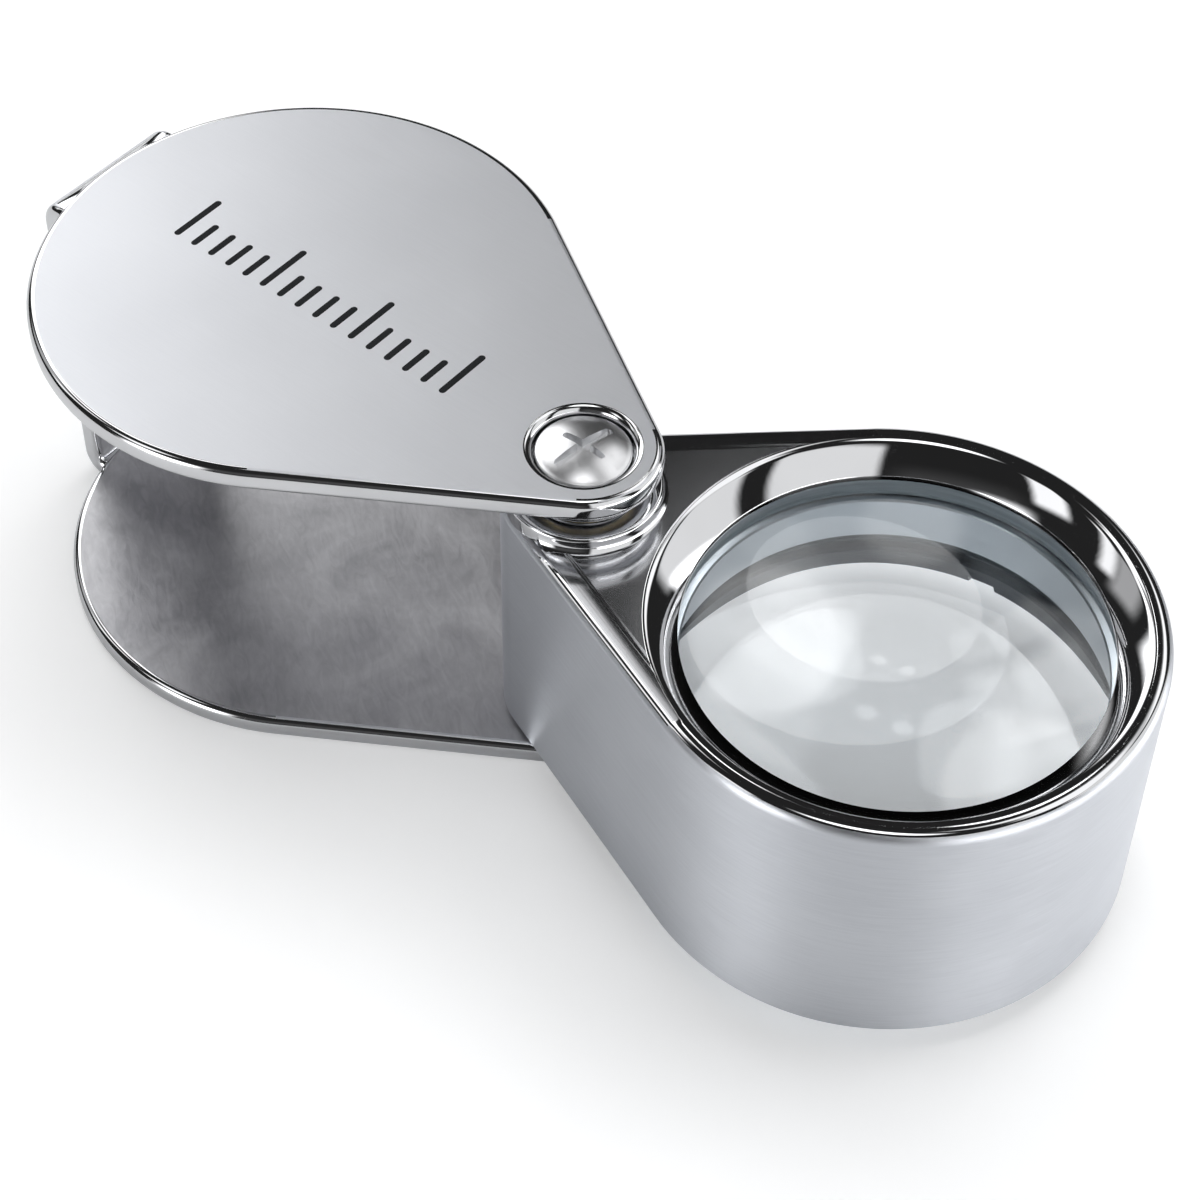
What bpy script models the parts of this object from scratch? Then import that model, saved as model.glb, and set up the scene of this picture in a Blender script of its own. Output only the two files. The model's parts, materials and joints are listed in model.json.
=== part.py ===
"""Folding pocket loupe: a bent-sheet case, and a cast lens holder that swings out of it on a pivot screw.

Metres, +Z up. The origin is on the underside of the case, at the centre of its round end.
The case runs along +X to the pivot, and the lens holder is swung out past it.
"""

import math

import bmesh
import bpy
from mathutils import Vector

MM = 0.001

# Case: two teardrop cheeks cut from one sheet, joined by a strap at the round end
CHEEK_BIG_R = 11.48 * MM
CHEEK_NOSE_R = 3.28 * MM
PIVOT_X = 15.43 * MM
CASE_HEIGHT = 16.80 * MM
SHEET = 1.07 * MM
CHEEK_EDGE_R = 0.37 * MM
STRAP_WIDTH = 7.0 * MM
STRAP_BULGE = 0.67 * MM
STRAP_STEP = 0.05 * MM
STRAP_EDGE_R = 0.37 * MM
BEND_OUTER_R = 1.2 * MM
BEND_INNER_R = 0.3 * MM

# Lens holder: a teardrop casting on the same pivot
SWING = math.radians(10.44)
HOLDER_BIG_R = 10.75 * MM
HOLDER_NOSE_R = 3.40 * MM
LENS_X = 14.15 * MM
HOLDER_BOTTOM = 1.33 * MM
HOLDER_TOP = 14.15 * MM
HOLDER_EDGE_R = 0.45 * MM
BOSS_R = 3.30 * MM
BOSS_TOP = 14.75 * MM

# Viewing bore, from its top bezel down
BEZEL_R = 9.90 * MM
BEZEL_EDGE_R = 0.60 * MM
LIP_R = 8.67 * MM
LIP_TOP = 13.18 * MM
LIP_DEPTH = 0.23 * MM
LENS_R = 9.0 * MM
BORE_R = 9.06 * MM
THREAD_R = 9.25 * MM
LOWER_BEZEL_Z = 2.35 * MM

# Optical stack, from the lip down
LENS_CURVE_R = 32.0 * MM
UPPER_LENS_EDGE = 1.90 * MM
SPACER_LENGTH = 3.00 * MM
SPACER_WALL = 0.45 * MM
LOWER_LENS_EDGE = 2.20 * MM
RING_LENGTH = 1.80 * MM
RING_INNER_R = 8.40 * MM
SEAT_GAP = 0.03 * MM

# Pivot: a pan-head screw from above in a countersunk sleeve nut from below
DISH_R = 2.45 * MM
DISH_FLOOR = 15.98 * MM
DISH_FLOOR_R = 2.15 * MM
DISH_BOTTOM = 15.25 * MM
DISH_OUTER_R = 2.95 * MM
SCREW_HEAD_R = 2.02 * MM
SCREW_HEAD_RIM = 16.50 * MM
SCREW_DOME = 16.92 * MM
SHANK_R = 0.95 * MM
SHANK_END = 9.0 * MM
SLEEVE_R = 1.50 * MM
SLEEVE_HEAD_R = 2.35 * MM
SLEEVE_HEAD_DEPTH = 0.80 * MM
RUNNING_GAP = 0.06 * MM
WASHER_R = 2.20 * MM
CROSS_LONG = 2.8 * MM
CROSS_SHORT = 2.1 * MM
CROSS_WIDTH = 0.40 * MM

ROUND_STEPS = 64
SMALL_STEPS = 32
BIG_ARC_STEPS = 44
NOSE_ARC_STEPS = 16
FILLET_STEPS = 3
WELD_DISTANCE = 1e-7
CUT_PAST = 1.0 * MM


def clear_scene():
    for obj in list(bpy.data.objects):
        bpy.data.objects.remove(obj, do_unlink=True)


def new_collection(name):
    collection = bpy.data.collections.new(name)
    bpy.context.scene.collection.children.link(collection)
    return collection


def make_material(name, colour, roughness, metallic):
    material = bpy.data.materials.new(name)
    material.use_nodes = True
    shader = material.node_tree.nodes["Principled BSDF"]
    shader.inputs["Base Color"].default_value = (*colour, 1.0)
    shader.inputs["Roughness"].default_value = roughness
    shader.inputs["Metallic"].default_value = metallic
    return material


def arc(centre, radius, start, end, steps):
    """Points along an arc, both ends included, angles in degrees."""
    points = []
    for i in range(steps + 1):
        angle = math.radians(start + (end - start) * i / steps)
        points.append((centre[0] + radius * math.cos(angle), centre[1] + radius * math.sin(angle)))
    return points


def teardrop(big_x, big_r, nose_r):
    """Outline round a nose circle at the origin and a big circle at big_x, joined by their tangents."""
    direction = math.copysign(1.0, big_x)
    tangent = math.degrees(math.acos(-(big_r - nose_r) / abs(big_x)))
    big = arc((abs(big_x), 0.0), big_r, -tangent, tangent, BIG_ARC_STEPS)
    nose = arc((0.0, 0.0), nose_r, tangent, 360.0 - tangent, NOSE_ARC_STEPS)
    return [(direction * x, y) for x, y in big + nose]


def link(obj, collection, parent):
    collection.objects.link(obj)
    obj.parent = parent
    return obj


def as_cutter(obj):
    obj.hide_render = True
    obj.display_type = "WIRE"
    return obj


def plate(name, outline, low, high, edge_r, collection, parent):
    """A flat outline given its thickness, with its edges rounded."""
    curve = bpy.data.curves.new(name, "CURVE")
    curve.dimensions = "2D"
    curve.fill_mode = "BOTH"
    curve.extrude = (high - low) / 2 - edge_r
    curve.bevel_depth = edge_r
    curve.bevel_resolution = FILLET_STEPS - 1
    curve.offset = -edge_r
    spline = curve.splines.new("POLY")
    spline.points.add(len(outline) - 1)
    for point, (x, y) in zip(spline.points, outline):
        point.co = (x, y, 0.0, 1.0)
    spline.use_cyclic_u = True
    guide = bpy.data.objects.new(name + "_outline", curve)
    collection.objects.link(guide)
    bpy.context.view_layer.update()
    evaluated = guide.evaluated_get(bpy.context.evaluated_depsgraph_get())
    mesh = bpy.data.meshes.new_from_object(evaluated)
    bpy.data.objects.remove(guide, do_unlink=True)
    weld(mesh)
    mesh.name = name
    mesh.materials.clear()
    obj = link(bpy.data.objects.new(name, mesh), collection, parent)
    obj.location.z = (low + high) / 2
    return obj


def weld(mesh):
    work = bmesh.new()
    work.from_mesh(mesh)
    bmesh.ops.remove_doubles(work, verts=work.verts, dist=WELD_DISTANCE)
    bmesh.ops.recalc_face_normals(work, faces=work.faces)
    work.to_mesh(mesh)
    work.free()


def turned(name, profile, steps, collection, parent, closed=False):
    """A profile of (radius, height) points, turned about Z. It runs down its outer side."""
    mesh = bpy.data.meshes.new(name)
    edges = [(i, i + 1) for i in range(len(profile) - 1)]
    if closed:
        edges.append((len(profile) - 1, 0))
    mesh.from_pydata([(radius, 0.0, height) for radius, height in profile], edges, [])
    obj = link(bpy.data.objects.new(name, mesh), collection, parent)
    screw = obj.modifiers.new("turn", "SCREW")
    screw.axis = "Z"
    screw.angle = math.tau
    screw.steps = steps
    screw.render_steps = steps
    screw.use_merge_vertices = True
    screw.merge_threshold = WELD_DISTANCE
    screw.use_smooth_shade = True
    return obj


def block(name, size, centre, turn, collection, parent):
    mesh = bpy.data.meshes.new(name)
    work = bmesh.new()
    bmesh.ops.create_cube(work, size=1.0)
    bmesh.ops.scale(work, vec=Vector(size), verts=work.verts)
    work.to_mesh(mesh)
    work.free()
    obj = link(bpy.data.objects.new(name, mesh), collection, parent)
    obj.location = centre
    obj.rotation_euler.z = turn
    return obj


def combine(obj, other, operation):
    boolean = obj.modifiers.new(other.name, "BOOLEAN")
    boolean.operation = operation
    boolean.solver = "EXACT"
    boolean.object = other


def settle(obj):
    """Replaces the object's mesh by its evaluated one, and drops the modifiers."""
    bpy.context.view_layer.update()
    evaluated = obj.evaluated_get(bpy.context.evaluated_depsgraph_get())
    mesh = bpy.data.meshes.new_from_object(evaluated)
    obj.modifiers.clear()
    obj.data = mesh


def finish(obj, material, sharp_degrees=35.0):
    """Settles the shape, shades it smooth but for its sharp edges, and gives it its material."""
    settle(obj)
    obj.data.materials.clear()
    obj.data.materials.append(material)
    obj.data.shade_smooth()
    obj.data.set_sharp_from_angle(angle=math.radians(sharp_degrees))
    return obj


def lens_profile(flat, edge, curve_r, bulge):
    """Half section of a plano-convex lens: flat is its flat side's height, bulge -1 faces down, 1 up."""
    sag_centre = flat + bulge * (edge - math.sqrt(curve_r**2 - LENS_R**2))
    points = []
    for i in range(9):
        radius = LENS_R * i / 8
        points.append((radius, sag_centre + bulge * math.sqrt(curve_r**2 - radius**2)))
    if bulge > 0:
        return points + [(LENS_R, flat), (0.0, flat)]
    return [(0.0, flat), (LENS_R, flat)] + points[::-1]


def ring_profile(inner_r, outer_r, low, high):
    return [(inner_r, high), (outer_r, high), (outer_r, low), (inner_r, low)]


def make_strap(parts, pivot):
    """The U-shaped strap that joins the cheeks, drawn in the XZ plane and given its width along Y."""
    outer_x = PIVOT_X + CHEEK_BIG_R + STRAP_BULGE
    inner_x = outer_x - SHEET
    leg_x = outer_x - 3.5 * MM
    high = CASE_HEIGHT / 2 - STRAP_STEP
    inner_high = CASE_HEIGHT / 2 - SHEET + STRAP_STEP
    outline = [(-leg_x, high)]
    outline += arc((-outer_x + BEND_OUTER_R, high - BEND_OUTER_R), BEND_OUTER_R, 90, 180, 6)
    outline += arc((-outer_x + BEND_OUTER_R, BEND_OUTER_R - high), BEND_OUTER_R, 180, 270, 6)
    outline += [(-leg_x, -high), (-leg_x, -inner_high)]
    outline += arc((-inner_x + BEND_INNER_R, BEND_INNER_R - inner_high), BEND_INNER_R, 270, 180, 3)
    outline += arc((-inner_x + BEND_INNER_R, inner_high - BEND_INNER_R), BEND_INNER_R, 180, 90, 3)
    outline += [(-leg_x, inner_high)]
    half = STRAP_WIDTH / 2
    strap = plate("strap", outline, -half, half, STRAP_EDGE_R, parts, pivot)
    strap.rotation_euler.x = math.pi / 2
    strap.location.z = CASE_HEIGHT / 2
    return strap


def make_case(parts, cutters, pivot, steel):
    outline = teardrop(-PIVOT_X, CHEEK_BIG_R, CHEEK_NOSE_R)
    shell = plate("case_shell", outline, CASE_HEIGHT - SHEET, CASE_HEIGHT, CHEEK_EDGE_R, parts, pivot)
    lower = plate("lower_cheek", outline, 0.0, SHEET, CHEEK_EDGE_R, cutters, pivot)
    strap = make_strap(cutters, pivot)
    dish_profile = [
        (0.0, DISH_FLOOR + 0.3 * MM),
        (DISH_OUTER_R, DISH_FLOOR + 0.3 * MM),
        (DISH_OUTER_R, CASE_HEIGHT - SHEET),
        (DISH_OUTER_R - 0.08 * MM, DISH_BOTTOM + 0.25 * MM),
        (DISH_OUTER_R - 0.35 * MM, DISH_BOTTOM),
        (0.0, DISH_BOTTOM),
    ]
    dish = turned("dish", dish_profile, SMALL_STEPS, cutters, pivot)
    for other in (lower, strap, dish):
        combine(shell, as_cutter(other), "UNION")
    recess_profile = [
        (0.0, CASE_HEIGHT + CUT_PAST),
        (DISH_R + 0.12 * MM, CASE_HEIGHT + CUT_PAST),
        (DISH_R + 0.12 * MM, CASE_HEIGHT + 0.02 * MM),
        (DISH_R - 0.08 * MM, CASE_HEIGHT - 0.10 * MM),
        (DISH_FLOOR_R + 0.05 * MM, CASE_HEIGHT - 0.35 * MM),
        (DISH_FLOOR_R, DISH_FLOOR),
        (SHANK_R + 0.1 * MM, DISH_FLOOR),
        (SHANK_R + 0.1 * MM, DISH_BOTTOM - CUT_PAST),
        (0.0, DISH_BOTTOM - CUT_PAST),
    ]
    recess = turned("screw_recess", recess_profile, SMALL_STEPS, cutters, pivot)
    hole_r = SLEEVE_R + RUNNING_GAP
    head_r = SLEEVE_HEAD_R + RUNNING_GAP
    slope = (head_r - hole_r) / SLEEVE_HEAD_DEPTH
    countersink_profile = [
        (0.0, SHEET + CUT_PAST),
        (hole_r, SHEET + CUT_PAST),
        (hole_r, SLEEVE_HEAD_DEPTH),
        (head_r + slope * CUT_PAST, -CUT_PAST),
        (0.0, -CUT_PAST),
    ]
    countersink = turned("nut_countersink", countersink_profile, SMALL_STEPS, cutters, pivot)
    for other in (recess, countersink):
        combine(shell, as_cutter(other), "DIFFERENCE")
    return finish(shell, steel)


def make_screw(parts, cutters, pivot, chrome):
    dome_rise = SCREW_DOME - SCREW_HEAD_RIM
    dome_r = (SCREW_HEAD_R**2 + dome_rise**2) / (2 * dome_rise)
    dome_centre = SCREW_DOME - dome_r
    profile = []
    for i in range(6):
        radius = SCREW_HEAD_R * 0.94 * i / 5
        profile.append((radius, dome_centre + math.sqrt(dome_r**2 - radius**2)))
    profile += [
        (SCREW_HEAD_R, SCREW_HEAD_RIM - 0.1 * MM),
        (SCREW_HEAD_R, DISH_FLOOR + SEAT_GAP),
        (SHANK_R, DISH_FLOOR + SEAT_GAP),
        (SHANK_R, SHANK_END + 0.3 * MM),
        (SHANK_R - 0.3 * MM, SHANK_END),
        (0.0, SHANK_END),
    ]
    screw = turned("pivot_screw", profile, SMALL_STEPS, parts, pivot)
    for turn, length in ((0.0, CROSS_SHORT), (math.pi / 2, CROSS_LONG)):
        arm = block("cross_arm", (length, CROSS_WIDTH, 1.1 * MM), (0.0, 0.0, SCREW_DOME), turn, cutters, pivot)
        combine(screw, as_cutter(arm), "DIFFERENCE")
    return finish(screw, chrome)


def make_sleeve_nut(parts, pivot, steel):
    top = DISH_BOTTOM - SEAT_GAP
    bore_r = SHANK_R + 0.05 * MM
    bore_end = SHANK_END - 0.5 * MM
    profile = [
        (0.0, bore_end),
        (bore_r, bore_end),
        (bore_r, top),
        (SLEEVE_R, top),
        (SLEEVE_R, SLEEVE_HEAD_DEPTH),
        (SLEEVE_HEAD_R, SEAT_GAP),
        (0.0, SEAT_GAP),
    ]
    return finish(turned("sleeve_nut", profile, SMALL_STEPS, parts, pivot), steel)


def make_washers(parts, pivot, brass, spring_steel):
    hole_r = SLEEVE_R + RUNNING_GAP
    flat = ring_profile(hole_r, WASHER_R, BOSS_TOP + SEAT_GAP, BOSS_TOP + 0.18 * MM)
    finish(turned("upper_washer", flat, SMALL_STEPS, parts, pivot, closed=True), brass)
    low = SHEET + 0.04 * MM
    flat = ring_profile(hole_r, WASHER_R, low, HOLDER_BOTTOM - 0.04 * MM)
    finish(turned("lower_washer", flat, SMALL_STEPS, parts, pivot, closed=True), brass)
    middle = (BOSS_TOP + 0.18 * MM + DISH_BOTTOM) / 2
    half = 0.06 * MM
    sheet = ring_profile(hole_r, WASHER_R, middle - half, middle + half)
    wave = turned("wave_washer", sheet, 48, parts, pivot, closed=True)
    settle(wave)
    for vertex in wave.data.vertices:
        vertex.co.z += 0.06 * MM * math.cos(3 * math.atan2(vertex.co.y, vertex.co.x))
    finish(wave, spring_steel)


def make_holder(parts, cutters, swing, chrome):
    outline = teardrop(LENS_X, HOLDER_BIG_R, HOLDER_NOSE_R)
    holder = plate("lens_housing", outline, HOLDER_BOTTOM, HOLDER_TOP, HOLDER_EDGE_R, parts, swing)
    boss_edge = 0.2 * MM
    boss_profile = [(0.0, BOSS_TOP)]
    boss_profile += arc((BOSS_R - boss_edge, BOSS_TOP - boss_edge), boss_edge, 90, 0, FILLET_STEPS)
    boss_profile += [(BOSS_R, HOLDER_TOP - 2.0 * MM), (0.0, HOLDER_TOP - 2.0 * MM)]
    boss = turned("boss", boss_profile, ROUND_STEPS, cutters, swing)
    combine(holder, as_cutter(boss), "UNION")
    hole_r = SLEEVE_R + RUNNING_GAP
    hole_profile = [
        (0.0, BOSS_TOP + CUT_PAST),
        (hole_r, BOSS_TOP + CUT_PAST),
        (hole_r, HOLDER_BOTTOM - CUT_PAST),
        (0.0, HOLDER_BOTTOM - CUT_PAST),
    ]
    hole = turned("pivot_hole", hole_profile, SMALL_STEPS, cutters, swing)
    combine(holder, as_cutter(hole), "DIFFERENCE")
    bore = turned("viewing_bore", bore_profile(), ROUND_STEPS, cutters, swing)
    bore.location.x = LENS_X
    combine(holder, as_cutter(bore), "DIFFERENCE")
    return finish(holder, chrome)


def bore_profile():
    """Half section of what the casting leaves open: bezel cone, lip, lens bore, ring thread and lower bezel."""
    cone_angle = math.degrees(math.atan2(BEZEL_R - LIP_R, HOLDER_TOP - LIP_TOP))
    turn_end = 180 - cone_angle
    tangent = BEZEL_EDGE_R * math.tan(math.radians((turn_end - 90) / 2))
    centre = (BEZEL_R + tangent, HOLDER_TOP - BEZEL_EDGE_R)
    rounding = arc(centre, BEZEL_EDGE_R, 90, turn_end, FILLET_STEPS)
    first = rounding[0]
    second = rounding[1]
    past = (2 * first[0] - second[0], 2 * first[1] - second[1])
    seat = LIP_TOP - LIP_DEPTH
    shoulder = lower_lens_flat() - 0.02 * MM
    lower_slope = (BEZEL_R - THREAD_R) / (LOWER_BEZEL_Z - HOLDER_BOTTOM)
    return [
        (0.0, HOLDER_TOP + CUT_PAST),
        (past[0], HOLDER_TOP + CUT_PAST),
        past,
        *rounding[1:],
        (LIP_R, LIP_TOP),
        (LIP_R, seat),
        (BORE_R, seat),
        (BORE_R, shoulder),
        (THREAD_R, shoulder),
        (THREAD_R, LOWER_BEZEL_Z),
        (BEZEL_R + lower_slope * CUT_PAST, HOLDER_BOTTOM - CUT_PAST),
        (0.0, HOLDER_BOTTOM - CUT_PAST),
    ]


def upper_lens_flat():
    return LIP_TOP - LIP_DEPTH - SEAT_GAP


def contact_rise():
    """How much further a curved face bulges at the spacer's inner edge than at the lens's own edge."""
    inner_r = LENS_R - SPACER_WALL
    return math.sqrt(LENS_CURVE_R**2 - inner_r**2) - math.sqrt(LENS_CURVE_R**2 - LENS_R**2)


def spacer_top():
    return upper_lens_flat() - UPPER_LENS_EDGE - contact_rise() - SEAT_GAP


def lower_lens_flat():
    return spacer_top() - SPACER_LENGTH - contact_rise() - SEAT_GAP - LOWER_LENS_EDGE


def make_optics(parts, cutters, swing, glass, bright, dark):
    upper = lens_profile(upper_lens_flat(), UPPER_LENS_EDGE, LENS_CURVE_R, -1)
    lower = lens_profile(lower_lens_flat(), LOWER_LENS_EDGE, LENS_CURVE_R, 1)
    spacer_low = spacer_top() - SPACER_LENGTH
    spacer = ring_profile(LENS_R - SPACER_WALL, LENS_R, spacer_low, spacer_top())
    ring_top = lower_lens_flat() - 0.04 * MM
    ring = ring_profile(RING_INNER_R, THREAD_R - RUNNING_GAP, ring_top - RING_LENGTH, ring_top)
    pieces = [
        turned("upper_lens", upper, ROUND_STEPS, parts, swing),
        turned("lower_lens", lower, ROUND_STEPS, parts, swing),
        turned("lens_spacer", spacer, ROUND_STEPS, parts, swing, closed=True),
        turned("retaining_ring", ring, ROUND_STEPS, parts, swing, closed=True),
    ]
    for piece in pieces:
        piece.location.x = LENS_X
    slot_size = (24.0 * MM, 1.0 * MM, 1.2 * MM)
    slot_centre = (LENS_X, 0.0, ring_top - RING_LENGTH)
    slot = block("spanner_slots", slot_size, slot_centre, math.pi / 2, cutters, swing)
    combine(pieces[3], as_cutter(slot), "DIFFERENCE")
    for piece, material in zip(pieces, (glass, glass, bright, dark)):
        finish(piece, material)


def axis_empty(name, location, turn, parts):
    empty = bpy.data.objects.new(name, None)
    parts.objects.link(empty)
    empty.location = location
    empty.rotation_euler.z = turn
    return empty


def main():
    clear_scene()
    parts = new_collection("folding_loupe")
    cutters = new_collection("cutters")
    satin_chrome = make_material("satin_chrome", (0.62, 0.63, 0.65), 0.30, 1.0)
    polished_chrome = make_material("polished_chrome", (0.72, 0.73, 0.75), 0.10, 1.0)
    screw_chrome = make_material("screw_chrome", (0.76, 0.77, 0.79), 0.12, 1.0)
    steel = make_material("pivot_steel", (0.45, 0.46, 0.48), 0.30, 1.0)
    brass = make_material("washer_brass", (0.60, 0.47, 0.22), 0.35, 1.0)
    glass = make_material("lens_glass", (0.88, 0.92, 0.94), 0.03, 0.0)
    spacer_metal = make_material("spacer_aluminium", (0.66, 0.70, 0.73), 0.35, 1.0)
    ring_metal = make_material("ring_aluminium", (0.35, 0.37, 0.40), 0.35, 1.0)
    pivot = axis_empty("pivot_axis", (PIVOT_X, 0.0, 0.0), 0.0, parts)
    swing = axis_empty("holder_swing", (PIVOT_X, 0.0, 0.0), SWING, parts)
    make_case(parts, cutters, pivot, satin_chrome)
    make_screw(parts, cutters, pivot, screw_chrome)
    make_sleeve_nut(parts, pivot, steel)
    make_washers(parts, pivot, brass, steel)
    make_holder(parts, cutters, swing, polished_chrome)
    make_optics(parts, cutters, swing, glass, spacer_metal, ring_metal)


main()
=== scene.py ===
"""The looks of the folding loupe: smooth chrome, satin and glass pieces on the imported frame.

Metres, +Z up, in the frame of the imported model. Sizes written in mm are multiplied by MM.
Every piece is drawn round the pivot, the case towards -X and the holder towards +X, and is then
put in place.
"""

import json
import math

import bmesh
import bpy
from mathutils import Matrix, Vector

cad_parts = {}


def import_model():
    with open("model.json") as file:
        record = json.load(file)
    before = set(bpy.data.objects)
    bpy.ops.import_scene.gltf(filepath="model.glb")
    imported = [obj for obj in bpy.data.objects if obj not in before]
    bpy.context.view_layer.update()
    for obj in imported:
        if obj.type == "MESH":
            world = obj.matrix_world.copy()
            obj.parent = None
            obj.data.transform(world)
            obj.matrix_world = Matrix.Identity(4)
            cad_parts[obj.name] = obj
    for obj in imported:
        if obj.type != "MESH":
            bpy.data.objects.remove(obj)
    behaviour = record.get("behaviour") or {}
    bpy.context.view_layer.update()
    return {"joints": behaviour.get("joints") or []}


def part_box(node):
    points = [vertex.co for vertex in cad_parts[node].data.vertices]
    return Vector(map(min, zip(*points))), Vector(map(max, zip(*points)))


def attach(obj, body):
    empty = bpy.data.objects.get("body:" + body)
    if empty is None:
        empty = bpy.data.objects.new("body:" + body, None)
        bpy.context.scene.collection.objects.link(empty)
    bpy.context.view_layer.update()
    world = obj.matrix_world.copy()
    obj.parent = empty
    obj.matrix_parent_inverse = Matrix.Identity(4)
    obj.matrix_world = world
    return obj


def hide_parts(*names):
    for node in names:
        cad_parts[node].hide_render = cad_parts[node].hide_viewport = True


MM = 0.001

# Camera
CAMERA_AZIMUTH = 38.20
CAMERA_ELEVATION = 48.87
CAMERA_DISTANCE = 121.72 * MM
CAMERA_ROLL = 1.04
CAMERA_LENS = 86.54
CAMERA_AIM = Vector((16.34, 0.09, 8.0)) * MM

# Case: a bent sheet with a dish pressed into the upper cheek for the screw
SHEET = 1.07 * MM
CHEEK_EDGE = 0.37 * MM
STRAP_WIDTH = 7.0 * MM
STRAP_STEP = 0.05 * MM
STRAP_LEG = 3.5 * MM
STRAP_EDGE = 0.37 * MM
STRAP_REACH = 0.1 * MM
BEND_OUTER_R = 1.2 * MM
BEND_INNER_R = 0.3 * MM
DISH_R = 2.09 * MM
DISH_RIM = 0.35 * MM
DISH_DEPTH = 0.82 * MM
DISH_DROP = 1.55 * MM
DISH_OUTER_R = 2.95 * MM
DISH_OUTER_EDGE = 0.35 * MM
DISH_FLOOR_EDGE = 0.08 * MM
DISH_HOLE_GAP = 0.10 * MM
RIM_LIFT = 0.002 * MM
DISH_ROOT = 0.5 * MM
DISH_REACH = 0.1 * MM

# Scale engraved in the upper cheek
TICK_COUNT = 16
LONG_TICK_EVERY = 5
TICK_PITCH = 1.0 * MM
TICK_START = 6.4 * MM
TICK_WIDTH = 0.34 * MM
LONG_TICK = 2.8 * MM
SHORT_TICK = 1.6 * MM
TICK_DEPTH = 0.10 * MM
TICK_TAPER = 0.04 * MM
TICK_LIFT = 0.05 * MM
INK_DROP = 0.03 * MM
INK_TAPER = 0.03 * MM
INK_GAP = 0.012 * MM
INK_LIFT = 0.002 * MM

# Lens housing
NOSE_R = 3.40 * MM
HOUSING_EDGE = 0.45 * MM
FOOT_EDGE = 0.20 * MM
BOSS_R = 3.30 * MM
BOSS_RISE = 0.60 * MM
BOSS_EDGE = 0.15 * MM
BOSS_FILLET = 0.48 * MM
CROWN_WIDTH = 0.80 * MM
CROWN_DROP = 0.10 * MM
CROWN_FADE = 0.8 * MM
SKIRT_SINK = 0.5 * MM
COLUMN_SINK = 0.7 * MM
BOSS_SINK = 2.0 * MM
BEZEL_R = 9.90 * MM
BEZEL_DEPTH = 0.97 * MM
BEZEL_EDGE = 0.60 * MM
LIP_R = 8.67 * MM
LIP_DEPTH = 0.23 * MM
LIP_EDGE = 0.03 * MM
BORE_R = 9.06 * MM
THREAD_R = 9.25 * MM
SHOULDER_GAP = 0.02 * MM
THREAD_REACH = 0.05 * MM
LOWER_BEZEL_DEPTH = 1.02 * MM

# Optics
LENS_R = 9.0 * MM
LENS_CURVE_R = 32.0 * MM
LENS_CHAMFER = 0.10 * MM
UPPER_LENS_EDGE = 1.90 * MM
LOWER_LENS_EDGE = 2.20 * MM
SPACER_WALL = 0.45 * MM
SPACER_CHAMFER = 0.08 * MM
RING_INNER_R = 8.40 * MM
RING_CHAMFER = 0.15 * MM
RING_SLOT = 1.0 * MM
RING_SLOT_LENGTH = 24.0 * MM
RING_SLOT_DEPTH = 0.6 * MM

# Pivot
HEAD_R = 2.00 * MM
HEAD_RIM_DROP = 0.30 * MM
DOME_RISE = 0.42 * MM
LONG_ARM = 3.10 * MM
LONG_ARM_TURN = -10.0
SHORT_ARM = 2.19 * MM
LONG_ARM_WIDTH = 0.50 * MM
SHORT_ARM_WIDTH = 0.40 * MM
ARM_DEPTH = 0.42 * MM
ARM_TAPER = 0.06 * MM
WASHER_R = 2.20 * MM
WAVE_HALF = 0.06 * MM
WAVE_COUNT = 3
SHANK_R = 0.95 * MM
SHANK_REACH = 7.8 * MM
SHANK_CHAMFER = 0.3 * MM
SHANK_BORE_REACH = 8.3 * MM
SHANK_BORE_GAP = 0.05 * MM
DOME_STEPS = 16
DOME_SHARE = 0.94
HEAD_EDGE_START = 72.0
HEAD_EDGE_STEPS = 5
SLEEVE_R = 1.50 * MM
SLEEVE_HEAD_R = 2.35 * MM
SLEEVE_HEAD_DEPTH = 0.80 * MM
SLEEVE_HEAD_EDGE = 0.04 * MM
RUNNING_GAP = 0.06 * MM
SPANNER_HOLE_R = 0.35 * MM
SPANNER_HOLE_OUT = 1.35 * MM
SPANNER_HOLE_DEPTH = 0.45 * MM
SEAT_GAP = 0.03 * MM

# Studio
FLOOR_GLOW = 0.30
FLOOR_R = 1.6
FLOOR_DEPTH = 20.0 * MM
FLOOR_GAP = 0.02 * MM
SKY_BASE = 0.022
BACKDROP = 0.97
KEY_AZIMUTH = 100.0
KEY_ELEVATION = 66.0
KEY_SPREAD = 46.0
KEY_STRENGTH = 1.15
# Soft panels: azimuth and elevation of the middle, half width, half height and edge softness in
# degrees, then brightness
PANELS = {
    "right": (-15.0, 31.0, 26.0, 27.0, 3.0, 1.0),
    "far_right": (47.0, 29.0, 21.0, 22.0, 3.0, 1.0),
    "right_low": (16.0, 1.0, 48.0, 9.0, 4.0, 5.5),
    "upper_right": (72.0, 60.0, 34.0, 8.0, 3.0, 1.4),
    "right_high": (92.0, 43.0, 13.0, 7.0, 3.0, 1.5),
    "left": (-126.0, 48.0, 9.0, 10.0, 3.0, 1.45),
    "left_low": (-102.0, 13.0, 12.0, 13.0, 8.0, 5.5),
    "left_strip": (-157.0, 37.0, 4.0, 14.0, 3.0, 1.4),
    "far_left": (-170.0, 29.0, 8.0, 12.0, 4.0, 0.5),
    "back": (155.0, 30.0, 15.0, 17.0, 4.0, 2.6),
    "back_left": (172.0, 46.0, 8.0, 6.0, 3.0, 1.5),
    "back_high": (157.0, 56.0, 19.0, 4.5, 2.0, 1.8),
    "front": (-80.0, 22.0, 30.0, 14.0, 10.0, 0.06),
}
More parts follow.
